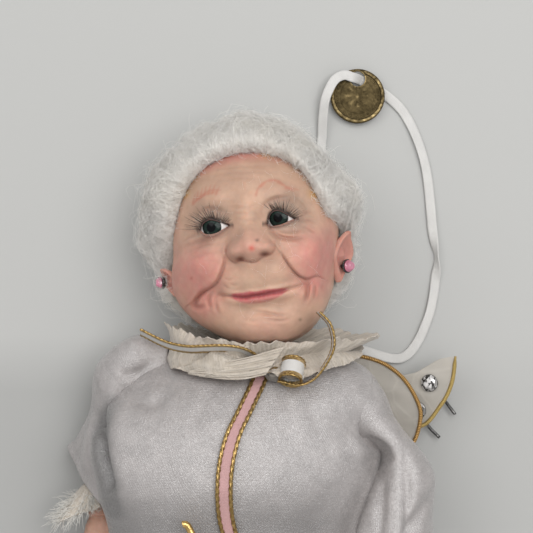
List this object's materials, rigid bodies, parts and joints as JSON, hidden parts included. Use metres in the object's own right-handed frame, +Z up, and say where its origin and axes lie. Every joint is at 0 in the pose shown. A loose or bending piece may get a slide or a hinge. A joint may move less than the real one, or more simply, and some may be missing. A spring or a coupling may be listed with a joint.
{
  "type": "hanging fairy doll",
  "caption": "Hand-made hanging fairy doll with a modelled clay head, wool hair, satin gown, lace collar, translucent wings, and a hanging ribbon with a brass disc.",
  "frame": {"origin": "middle of the flat back of the gown, where the doll lies", "axes": "+Z up out of the back through the doll's front, +Y from feet to head, +X to the viewer's right when facing the doll"},
  "size_m": [0.1241, 0.3019, 0.0636],
  "materials": {
    "clay_skin": "modelled polymer clay, hand painted, soft sheen",
    "eye_glass": "polished glass doll eye",
    "lashes": "fine black hair",
    "wool_hair": "fluffy mohair wool",
    "dark_metal": "tarnished",
    "pink_gem": "faceted",
    "satin": "fine sparkly satin weave",
    "shoe_satin": "satin",
    "stuffing": "stuffed cotton",
    "steel_wire": "drawn wire",
    "lace": "open lace net",
    "white_ribbon": "satin ribbon",
    "pink_ribbon": "ribbon with metallic gold edges",
    "wing_film": "milky translucent film",
    "gold_cord": "twisted metallic cord",
    "rhinestone": "faceted, silver backed",
    "worn_brass": "worn and dull, raised rim",
    "gold_metal": "polished gold colour"
  },
  "bodies": {
    "torso": {"gown": "satin", "stuffed_body": "stuffing", "wire_frame": "steel_wire", "lace_collar": "lace", "neck_bow": "white_ribbon", "front_ribbon": "pink_ribbon", "hanging_ribbon": "white_ribbon"},
    "head": {"head": "clay_skin", "eye_left": "eye_glass", "eye_right": "eye_glass", "lash_band_left": "lashes", "lash_band_right": "lashes", "hair": "wool_hair", "earring_post_left": "dark_metal", "earring_post_right": "dark_metal", "earring_gem_left": "pink_gem", "earring_gem_right": "pink_gem"},
    "arm_left": {"sleeve_left": "satin", "arm_wire_left": "steel_wire", "hand_left": "clay_skin", "cuff_left": "lace"},
    "arm_right": {"sleeve_right": "satin", "arm_wire_right": "steel_wire", "hand_right": "clay_skin", "cuff_right": "lace", "wand": "gold_metal"},
    "leg_left": {"leg_left": "stuffing", "shoe_left": "shoe_satin"},
    "leg_right": {"leg_right": "stuffing", "shoe_right": "shoe_satin"},
    "wings_left": {"wing_front_left": "wing_film", "wing_rear_left": "wing_film", "rim_front_left": "gold_cord", "rim_rear_left": "gold_cord", "stone_0_left": "rhinestone", "stone_1_left": "rhinestone"},
    "wings_right": {"wing_front_right": "wing_film", "wing_rear_right": "wing_film", "rim_front_right": "gold_cord", "rim_rear_right": "gold_cord", "stone_0_right": "rhinestone", "stone_1_right": "rhinestone"},
    "tag": {"brass_tag": "worn_brass"}
  },
  "joints": [
    {"name": "neck_turn", "type": "hinge", "parent": "torso", "child": "head", "pos_m": [0, 0.066, 0.024], "axis": [0, 1, 0], "range_deg": [-15, 15]},
    {"name": "shoulder_left", "type": "hinge", "parent": "torso", "child": "arm_left", "pos_m": [-0.036, 0.057, 0.019], "axis": [0, 0, 1], "range_deg": [-35, 0]},
    {"name": "shoulder_right", "type": "hinge", "parent": "torso", "child": "arm_right", "pos_m": [0.033, 0.048, 0.027], "axis": [0, 0, 1], "range_deg": [0, 35]},
    {"name": "hip_left", "type": "hinge", "parent": "torso", "child": "leg_left", "pos_m": [-0.013, -0.046, 0.02], "axis": [1, 0, 0], "range_deg": [-15, 1]},
    {"name": "hip_right", "type": "hinge", "parent": "torso", "child": "leg_right", "pos_m": [0.013, -0.046, 0.02], "axis": [1, 0, 0], "range_deg": [-15, 1]},
    {"name": "wing_flex_left", "type": "hinge", "parent": "torso", "child": "wings_left", "pos_m": [-0.007, 0.058, 0.0035], "axis": [0, 1, 0], "range_deg": [-14, 0], "stiffness_Nm_per_rad": 0.03},
    {"name": "wing_flex_right", "type": "hinge", "parent": "torso", "child": "wings_right", "pos_m": [0.007, 0.058, 0.0035], "axis": [0, 1, 0], "range_deg": [0, 14], "stiffness_Nm_per_rad": 0.03},
    {"name": "tag_swing", "type": "hinge", "parent": "torso", "child": "tag", "pos_m": [0.0314, 0.1497, 0.0022], "axis": [0, 0, 1], "range_deg": [-25, 25]}
  ]
}
